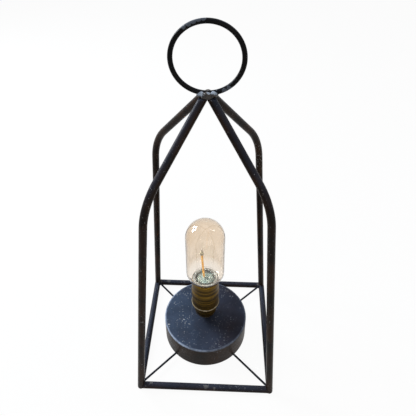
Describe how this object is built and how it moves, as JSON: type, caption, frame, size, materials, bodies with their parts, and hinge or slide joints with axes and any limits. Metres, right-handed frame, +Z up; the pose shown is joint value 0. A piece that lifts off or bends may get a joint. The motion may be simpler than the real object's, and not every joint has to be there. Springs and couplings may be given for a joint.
{
  "type": "lantern table lamp",
  "caption": "Open lantern of black round rods bent to a common apex under a carrying ring, with a drum base on wire stays holding a brass lampholder and a tubular filament bulb.",
  "frame": {"origin": "centre of the square of base bars, on the surface that the lamp stands on", "axes": "+Z up through the apex, -Y towards the front, the ring stands in the XZ plane"},
  "size_m": [0.1614, 0.1614, 0.4161],
  "materials": {
    "black_rod_paint": "satin black paint over round steel",
    "blue_black_drum_paint": "semi-gloss blue-black paint, finely scratched and dusty",
    "zinc_steel": "zinc plated",
    "black_plastic": "fine matt",
    "grey_plastic": "fine matt",
    "nickel_contact": "nickel plated",
    "cell_wrap": "plain shrunk sleeve",
    "green_board": "lacquered board",
    "bare_brass": "bright",
    "aged_brass": "dark antique brass",
    "brown_fibre": "pressed fibre",
    "bulb_aluminium": "satin",
    "black_glass": "gloss",
    "champagne_glass": "pale champagne tinted clear glass",
    "grey_mount": "glazed",
    "amber_filament": "translucent amber coating",
    "bead_glass": "gloss",
    "red_wire": "insulated wire"
  },
  "bodies": {
    "lantern": {"leg_back_right": "black_rod_paint", "leg_back_left": "black_rod_paint", "leg_front_left": "black_rod_paint", "leg_front_right": "black_rod_paint", "base_bar_front": "black_rod_paint", "base_bar_right": "black_rod_paint", "base_bar_back": "black_rod_paint", "base_bar_left": "black_rod_paint", "stay_back_right": "black_rod_paint", "stay_back_left": "black_rod_paint", "stay_front_left": "black_rod_paint", "stay_front_right": "black_rod_paint", "carrying_ring": "black_rod_paint", "apex_weld": "black_rod_paint", "nipple_collar": "black_rod_paint", "drum_shell": "blue_black_drum_paint", "drum_posts": "zinc_steel", "drum_cover": "black_plastic", "cover_screws": "zinc_steel", "door_hinge_pin": "zinc_steel", "leaf_spring_left": "nickel_contact", "leaf_spring_middle": "nickel_contact", "leaf_spring_right": "nickel_contact", "contact_plates": "nickel_contact", "battery_cells": "cell_wrap", "switch_housing": "black_plastic", "driver_board": "green_board", "timer_chip": "black_plastic", "board_capacitor": "grey_plastic", "holder_nipple": "zinc_steel", "nipple_washer": "zinc_steel", "nipple_nut": "zinc_steel", "cap_lock_nut": "bare_brass", "holder_cap": "aged_brass", "holder_barrel": "aged_brass", "insulating_sleeve": "brown_fibre", "holder_insulator": "black_plastic", "screw_liner": "bare_brass", "centre_contact": "bare_brass", "lead_live": "red_wire", "lead_return": "black_plastic"},
    "bulb": {"bulb_cap": "bulb_aluminium", "bulb_glass_plug": "black_glass", "bulb_contact": "nickel_contact", "bulb_glass": "champagne_glass", "bulb_mount": "grey_mount", "led_filament": "amber_filament", "filament_bead": "bead_glass", "support_wire": "nickel_contact"},
    "battery_door": {"battery_door": "black_plastic"},
    "switch_slider": {"switch_slider": "grey_plastic"}
  },
  "joints": [
    {"name": "bulb_unscrews", "type": "slide", "parent": "lantern", "child": "bulb", "axis": [0, 0, 1], "range_m": [0, 0.03]},
    {"name": "door_opens", "type": "hinge", "parent": "lantern", "child": "battery_door", "pos_m": [-0.0026, 0.0356, 0.0046], "axis": [1, 0, 0], "range_deg": [0, 90]},
    {"name": "switch_slides", "type": "slide", "parent": "lantern", "child": "switch_slider", "axis": [0, 1, 0], "range_m": [0, 0.003]}
  ]
}
